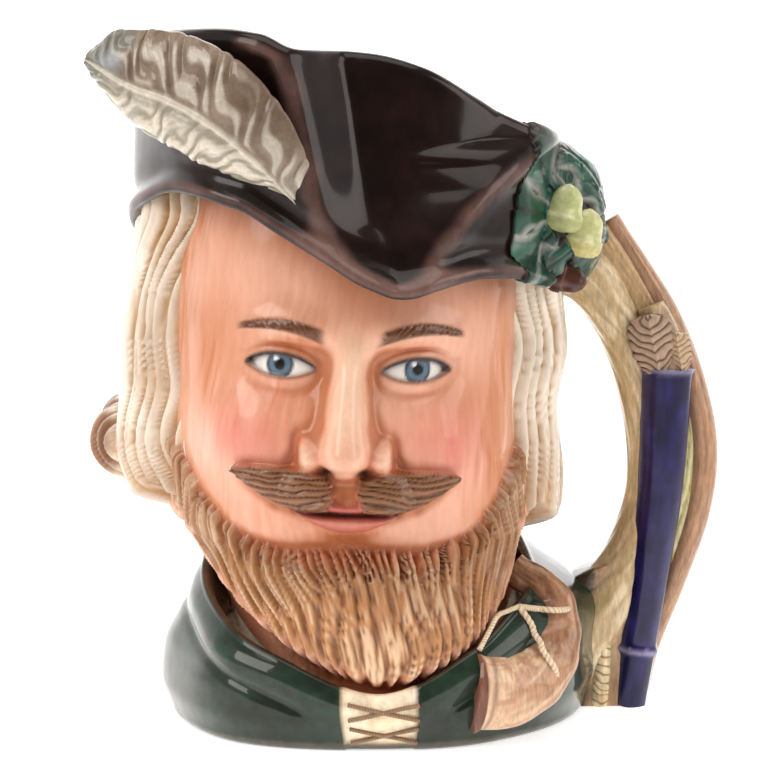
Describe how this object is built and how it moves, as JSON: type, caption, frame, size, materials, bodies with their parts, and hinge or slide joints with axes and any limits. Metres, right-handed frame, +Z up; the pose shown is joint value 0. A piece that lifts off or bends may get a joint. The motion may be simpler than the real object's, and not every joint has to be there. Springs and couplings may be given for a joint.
{
  "type": "toby jug",
  "caption": "Glazed earthenware jug shaped as a bearded forester's head and shoulders in a feathered hat, with a branch, quiver and bow handle.",
  "frame": {"origin": "middle of the flat underside, on the table", "axes": "+Z up, -Y the way the face looks, +X towards the handle"},
  "size_m": [0.1764, 0.1365, 0.19],
  "materials": {
    "jug": "hand painted under a clear gloss glaze"
  },
  "bodies": {
    "root": {"jug": "jug"}
  },
  "joints": []
}
